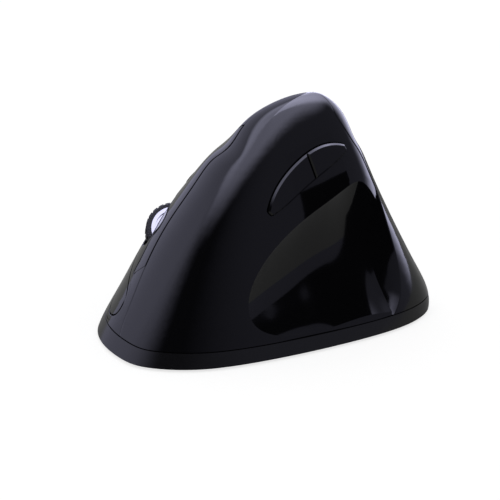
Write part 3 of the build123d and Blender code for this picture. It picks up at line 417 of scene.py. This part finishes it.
def patch_kinds(mesh, patches, count, guide):
    """What each patch follows: the body's form, the scoop's horn, the rim between them or neither."""
    def body_normal(point):
        return guide_normal(guide, point)

    followed = (("body", body_normal, BODY_AGREEMENT), ("scoop", scoop_normal, SCOOP_AGREEMENT))
    gaps = {kind: [[] for _ in range(count)] for kind in ("body", "scoop", "rim")}
    for polygon in mesh.polygons:
        patch = patches[polygon.index]
        corners = [mesh.vertices[index].co for index in polygon.vertices]
        for kind, follow, agreement in followed:
            agrees = follow(polygon.center)[0].dot(polygon.normal) > agreement
            gaps[kind][patch].append(follow(corners[0])[1] if agrees else OFF_COURSE)
        edge = [min(body_normal(corner)[1], scoop_normal(corner)[1]) for corner in corners]
        gaps["rim"][patch].append(max(edge))
    kinds = []
    for patch in range(count):
        means = {kind: float(np.mean(gaps[kind][patch])) if gaps[kind][patch] else 1.0 for kind in gaps}
        best = min(("body", "scoop"), key=means.get)
        if means[best] < (BODY_REACH if best == "body" else SCOOP_REACH):
            kinds.append(best)
        else:
            kinds.append("rim" if means["rim"] < RIM_REACH else "own")
    return kinds


# Materials


def new_material(name):
    """An empty node material with its output and a Principled shader."""
    material = bpy.data.materials.new(name)
    material.use_nodes = True
    tree = material.node_tree
    tree.nodes.clear()
    output = tree.nodes.new("ShaderNodeOutputMaterial")
    shader = tree.nodes.new("ShaderNodeBsdfPrincipled")
    tree.links.new(shader.outputs["BSDF"], output.inputs["Surface"])
    return material, tree, shader


def handling_group():
    """Faint handling marks on polished or moulded plastic: roughness and height over the surface."""
    group = bpy.data.node_groups.new("Handling marks", "ShaderNodeTree")
    face = group.interface
    for label, kind, default in (("Scale", "NodeSocketFloat", 400.0), ("Roughness", "NodeSocketFloat", 0.1),
                                 ("Spread", "NodeSocketFloat", 0.03)):
        socket = face.new_socket(label, in_out="INPUT", socket_type=kind)
        socket.default_value = default
    for label in ("Roughness", "Height"):
        face.new_socket(label, in_out="OUTPUT", socket_type="NodeSocketFloat")
    nodes, links = group.nodes, group.links
    start, end = nodes.new("NodeGroupInput"), nodes.new("NodeGroupOutput")
    place = nodes.new("ShaderNodeTexCoord")
    smears = nodes.new("ShaderNodeTexNoise")
    smears.inputs["Scale"].default_value = SMEAR_SCALE
    smears.inputs["Detail"].default_value = 4.0
    grain = nodes.new("ShaderNodeTexNoise")
    grain.inputs["Detail"].default_value = 2.0
    links.new(place.outputs["Object"], smears.inputs["Vector"])
    links.new(place.outputs["Object"], grain.inputs["Vector"])
    links.new(start.outputs["Scale"], grain.inputs["Scale"])
    centred = nodes.new("ShaderNodeMath")
    centred.operation = "SUBTRACT"
    centred.inputs[1].default_value = 0.5
    links.new(smears.outputs["Fac"], centred.inputs[0])
    spread = nodes.new("ShaderNodeMath")
    spread.operation = "MULTIPLY_ADD"
    links.new(centred.outputs[0], spread.inputs[0])
    links.new(start.outputs["Spread"], spread.inputs[1])
    links.new(start.outputs["Roughness"], spread.inputs[2])
    links.new(spread.outputs[0], end.inputs["Roughness"])
    links.new(grain.outputs["Fac"], end.inputs["Height"])
    return group


def plastic(name, colour, roughness, group, scale=400.0, spread=0.03, bump=0.0, metallic=0.0):
    """A moulded plastic, rubber or metal finish with the shared handling marks."""
    material, tree, shader = new_material(name)
    shader.inputs["Base Color"].default_value = colour
    shader.inputs["Metallic"].default_value = metallic
    marks = tree.nodes.new("ShaderNodeGroup")
    marks.node_tree = group
    marks.inputs["Scale"].default_value = scale
    marks.inputs["Roughness"].default_value = roughness
    marks.inputs["Spread"].default_value = spread
    tree.links.new(marks.outputs["Roughness"], shader.inputs["Roughness"])
    if bump:
        relief = tree.nodes.new("ShaderNodeBump")
        relief.inputs["Strength"].default_value = bump
        relief.inputs["Distance"].default_value = RELIEF_DEPTH
        tree.links.new(marks.outputs["Height"], relief.inputs["Height"])
        tree.links.new(relief.outputs["Normal"], shader.inputs["Normal"])
    return material


def paint(thing, material):
    """Gives an object one material all over."""
    if not thing.material_slots:
        thing.data.materials.append(material)
    for slot in thing.material_slots:
        slot.material = material


def finishes():
    """The finishes by name, made once."""
    if "gloss_shell" in bpy.data.materials:
        return {material.name: material for material in bpy.data.materials}
    finish = bpy.context.scene.mouse_finish
    group = handling_group()
    plastic("gloss_shell", finish.shell_colour, finish.shell_roughness, group, spread=0.02)
    plastic("gloss_casing", finish.casing_colour, 0.16, group, spread=0.03)
    plastic("ribbed_tyre", finish.tyre_colour, 0.6, group, scale=1500.0, bump=0.4)
    plastic("bright_hub", (0.75, 0.75, 0.77, 1.0), 0.15, group, metallic=1.0)
    plastic("inner_plastic", (0.03, 0.03, 0.032, 1.0), 0.5, group, scale=1200.0, bump=0.3)
    plastic("switch_plastic", (0.015, 0.015, 0.015, 1.0), 0.4, group, scale=1200.0, bump=0.3)
    plastic("board_lacquer", (0.01, 0.09, 0.04, 1.0), 0.3, group)
    plastic("plated_steel", (0.62, 0.62, 0.63, 1.0), 0.28, group, metallic=1.0)
    plastic("cell_jacket", (0.10, 0.12, 0.15, 1.0), 0.3, group)
    plastic("glide_pad", (0.03, 0.03, 0.032, 1.0), 0.45, group, scale=900.0, bump=0.3)
    lens = plastic("clear_lens", (0.9, 0.93, 0.95, 1.0), 0.05, group)
    lens.node_tree.nodes["Principled BSDF"].inputs["Transmission Weight"].default_value = 0.9
    return {material.name: material for material in bpy.data.materials}


class MOUSE_OT_housings(bpy.types.Operator):
    """Gives the shells and the lower casing their smooth moulded skins"""

    bl_idname = "mouse.housings"
    bl_label = "Housings"

    def execute(self, context):
        looks = finishes()
        pair = guides()
        for node, name, finish in (("thumb_side_shell", "thumb_housing", "gloss_shell"),
                                   ("palm_shell", "palm_housing", "gloss_shell"),
                                   ("wheel_strip", "centre_strip", "gloss_shell"),
                                   ("base_casing", "lower_casing", "gloss_casing")):
            piece = moulded_skin(node, name, "mouse_body", pair)
            paint(piece, looks[finish])
        return {"FINISHED"}


class MOUSE_OT_buttons(bpy.types.Operator):
    """Gives the click, speed and thumb buttons their smooth skins"""

    bl_idname = "mouse.buttons"
    bl_label = "Buttons"

    def execute(self, context):
        looks = finishes()
        pair = guides()
        for node, name, body in (("left_click_button", "left_click_cap", "left_click"),
                                 ("right_click_button", "right_click_cap", "right_click"),
                                 ("speed_button", "speed_cap", "pointer_speed"),
                                 ("forward_button", "forward_cap", "forward_key"),
                                 ("back_button", "back_cap", "back_key")):
            piece = moulded_skin(node, name, body, pair)
            paint(piece, looks["gloss_shell"])
        return {"FINISHED"}


class MOUSE_OT_works(bpy.types.Operator):
    """Finishes the wheel, the inner works and the underside's pieces"""

    bl_idname = "mouse.works"
    bl_label = "Works"

    def execute(self, context):
        looks = finishes()
        for finish, nodes in (
            ("ribbed_tyre", ("scroll_wheel_tyre",)),
            ("bright_hub", ("scroll_wheel_hub",)),
            ("inner_plastic", ("button_frame", "wheel_cradle", "power_switch_knob", "receiver_cap")),
            ("switch_plastic", ("left_microswitch", "right_microswitch", "wheel_switch", "speed_switch",
                                "forward_switch", "back_switch", "power_switch_body", "wheel_encoder",
                                "sensor_chip")),
            ("board_lacquer", ("button_board", "thumb_board", "main_board")),
            ("plated_steel", ("battery_contacts", "casing_screws", "receiver_plug")),
            ("cell_jacket", ("batteries",)),
            ("clear_lens", ("sensor_lens",)),
            ("gloss_casing", ("battery_cover",)),
            ("glide_pad", ("front_foot", "rear_foot")),
        ):
            for node in nodes:
                paint(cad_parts[node], looks[finish])
        return {"FINISHED"}


def add_flag(name, level, across, heights):
    """A studio card beside the thumb side that only polished surfaces see, at one brightness."""
    start, end = across
    low, high = heights
    corners = [
        FLAG_PLACE + FLAG_ALONG * (reach * MM) + Vector((0.0, 0.0, height * MM))
        for reach, height in ((start, low), (end, low), (end, high), (start, high))
    ]
    mesh = bpy.data.meshes.new(name)
    mesh.from_pydata(corners, [], [(0, 1, 2, 3)])
    card = bpy.data.objects.new(name, mesh)
    bpy.context.collection.objects.link(card)
    material = bpy.data.materials.new(name)
    material.use_nodes = True
    tree = material.node_tree
    tree.nodes.clear()
    output = tree.nodes.new("ShaderNodeOutputMaterial")
    clear = tree.nodes.new("ShaderNodeBsdfTransparent")
    shade = tree.nodes.new("ShaderNodeEmission")
    shade.inputs["Strength"].default_value = level
    shade.inputs["Color"].default_value = ROOM_TINT
    mixed = tree.nodes.new("ShaderNodeMixShader")
    path = tree.nodes.new("ShaderNodeLightPath")
    tree.links.new(path.outputs["Is Glossy Ray"], mixed.inputs["Fac"])
    tree.links.new(clear.outputs[0], mixed.inputs[1])
    tree.links.new(shade.outputs[0], mixed.inputs[2])
    tree.links.new(mixed.outputs[0], output.inputs["Surface"])
    mesh.materials.append(material)


def seen_directly(tree):
    """A factor that is 1 for rays from the camera and through glass, and the node it comes from."""
    path = tree.nodes.new("ShaderNodeLightPath")
    either = tree.nodes.new("ShaderNodeMath")
    either.operation = "MAXIMUM"
    tree.links.new(path.outputs["Is Camera Ray"], either.inputs[0])
    tree.links.new(path.outputs["Is Transmission Ray"], either.inputs[1])
    return either.outputs[0], path


def ramp(tree, source, start, end, low, high):
    """A smooth step from one value to another while the source runs from start to end."""
    step = tree.nodes.new("ShaderNodeMapRange")
    step.interpolation_type = "SMOOTHSTEP"
    for label, value in (("From Min", start), ("From Max", end), ("To Min", low), ("To Max", high)):
        step.inputs[label].default_value = value
    tree.links.new(source, step.inputs["Value"])
    return step.outputs["Result"]


def combined(tree, operation, first, second):
    """One value made of two others."""
    both = tree.nodes.new("ShaderNodeMath")
    both.operation = operation
    tree.links.new(first, both.inputs[0])
    tree.links.new(second, both.inputs[1])
    return both.outputs[0]


def room_level(tree):
    """How bright the studio is in a direction: panels on the front and the rear side, one overhead."""
    place = tree.nodes.new("ShaderNodeTexCoord")
    heading = Vector((CAMERA_BACK.x, CAMERA_BACK.y, 0.0)).normalized()
    parts = []
    for axis in (heading.cross(Vector((0, 0, -1))), heading, Vector((0, 0, 1))):
        along = tree.nodes.new("ShaderNodeVectorMath")
        along.operation = "DOT_PRODUCT"
        along.inputs[1].default_value = axis
        tree.links.new(place.outputs["Generated"], along.inputs[0])
        parts.append(along.outputs["Value"])
    turn = combined(tree, "ARCTAN2", parts[0], parts[1])
    front = ramp(tree, turn, *PANEL_FRONT_EDGE, 1.0, 0.0)
    fade = ramp(tree, turn, *PANEL_FRONT_FADE, *PANEL_FRONT_LEVELS)
    rear = ramp(tree, turn, *PANEL_REAR_EDGE, 0.0, PANEL_REAR_LEVEL)
    overhead = ramp(tree, parts[2], *PANEL_OVERHEAD_EDGE, 0.0, PANEL_OVERHEAD_LEVEL)
    walls = ramp(tree, turn, *ROOM_SIDE_FADE, *ROOM_SIDE_LEVELS)
    total = combined(tree, "MULTIPLY", front, fade)
    for part in (rear, overhead, walls):
        total = combined(tree, "ADD", total, part)
    return total


def build_world(fill_level):
    """White for the camera, a room of panels for polished surfaces, an even fill for matt ones."""
    world = bpy.data.worlds.new("Studio")
    bpy.context.scene.world = world
    world.use_nodes = True
    tree = world.node_tree
    tree.nodes.clear()
    nodes, links = tree.nodes, tree.links
    output = nodes.new("ShaderNodeOutputWorld")
    direct, path = seen_directly(tree)
    room, fill, white = (nodes.new("ShaderNodeBackground") for _ in range(3))
    for shade, colour, level in ((room, ROOM_TINT, 1.0), (fill, WHITE, fill_level), (white, WHITE, 1.0)):
        shade.inputs["Color"].default_value = colour
        shade.inputs["Strength"].default_value = level
    links.new(room_level(tree), room.inputs["Strength"])
    glossy = nodes.new("ShaderNodeMixShader")
    links.new(path.outputs["Is Glossy Ray"], glossy.inputs["Fac"])
    links.new(fill.outputs[0], glossy.inputs[1])
    links.new(room.outputs[0], glossy.inputs[2])
    seen = nodes.new("ShaderNodeMixShader")
    links.new(direct, seen.inputs["Fac"])
    links.new(glossy.outputs[0], seen.inputs[1])
    links.new(white.outputs[0], seen.inputs[2])
    links.new(seen.outputs[0], output.inputs["Surface"])


def add_floor(size):
    """A matt floor that keeps the mouse's shadow and glows nearly white to the camera."""
    deselect_all()
    bpy.ops.mesh.primitive_plane_add(size=size, location=(0.0, 0.0, -FLOOR_DROP))
    floor = bpy.context.object
    floor.name = "floor"
    material = bpy.data.materials.new("pale_floor")
    material.use_nodes = True
    tree = material.node_tree
    tree.nodes.clear()
    output = tree.nodes.new("ShaderNodeOutputMaterial")
    matt = tree.nodes.new("ShaderNodeBsdfDiffuse")
    matt.inputs["Color"].default_value = FLOOR_SHADE
    glow = tree.nodes.new("ShaderNodeEmission")
    both = tree.nodes.new("ShaderNodeAddShader")
    direct, _ = seen_directly(tree)
    lift = tree.nodes.new("ShaderNodeMath")
    lift.operation = "MULTIPLY"
    lift.inputs[1].default_value = FLOOR_GLOW
    tree.links.new(direct, lift.inputs[0])
    tree.links.new(lift.outputs[0], glow.inputs["Strength"])
    tree.links.new(matt.outputs[0], both.inputs[0])
    tree.links.new(glow.outputs[0], both.inputs[1])
    tree.links.new(both.outputs[0], output.inputs["Surface"])
    floor.data.materials.append(material)


def add_camera():
    """The photograph's camera, made the scene's own."""
    lens = bpy.data.cameras.new("camera")
    lens.lens = CAMERA_LENS
    lens.sensor_width = CAMERA_SENSOR
    lens.shift_x, lens.shift_y = CAMERA_SHIFT
    lens.clip_start = CAMERA_NEAR
    camera = bpy.data.objects.new("camera", lens)
    bpy.context.collection.objects.link(camera)
    place = CAMERA_AIM + CAMERA_BACK * CAMERA_DISTANCE
    turn = (-CAMERA_BACK).to_track_quat("-Z", "Y").to_matrix().to_4x4()
    camera.matrix_world = Matrix.Translation(place) @ turn
    bpy.context.scene.camera = camera


class MOUSE_OT_studio(bpy.types.Operator):
    """Lays the pale floor and sets up the cards, the room and the photograph's camera"""

    bl_idname = "mouse.studio"
    bl_label = "Studio"

    def execute(self, context):
        studio = context.scene.mouse_studio
        add_floor(studio.floor_size)
        add_flag("dark_flag", *DARK_FLAG)
        add_flag("grey_flag", *GREY_FLAG)
        build_world(studio.fill_level)
        add_camera()
        context.scene.view_settings.view_transform = "Standard"
        return {"FINISHED"}


class MOUSE_PT_sidebar(bpy.types.Panel):
    """Lists the steps that dress the mouse"""

    bl_idname = "MOUSE_PT_sidebar"
    bl_label = "Vertical mouse"
    bl_space_type = "VIEW_3D"
    bl_region_type = "UI"
    bl_category = "Mouse"

    def draw(self, context):
        for step in STEPS:
            self.layout.operator(step.bl_idname)
        for settings in (context.scene.mouse_finish, context.scene.mouse_studio):
            for label in settings.__annotations__:
                self.layout.prop(settings, label)


STEPS = (MOUSE_OT_housings, MOUSE_OT_buttons, MOUSE_OT_works, MOUSE_OT_studio)
CLASSES = (MouseFinish, MouseStudio, *STEPS, MOUSE_PT_sidebar)


def register():
    """Registers the classes and the scene's settings."""
    for kind in CLASSES:
        bpy.utils.register_class(kind)
    bpy.types.Scene.mouse_finish = bpy.props.PointerProperty(type=MouseFinish)
    bpy.types.Scene.mouse_studio = bpy.props.PointerProperty(type=MouseStudio)


def unregister():
    """Takes the settings and the classes away again."""
    del bpy.types.Scene.mouse_studio
    del bpy.types.Scene.mouse_finish
    for kind in reversed(CLASSES):
        bpy.utils.unregister_class(kind)


def main():
    """Runs every step in order."""
    register()
    bpy.ops.mouse.housings()
    bpy.ops.mouse.buttons()
    bpy.ops.mouse.works()
    bpy.ops.mouse.studio()


if __name__ == "__main__":
    main()
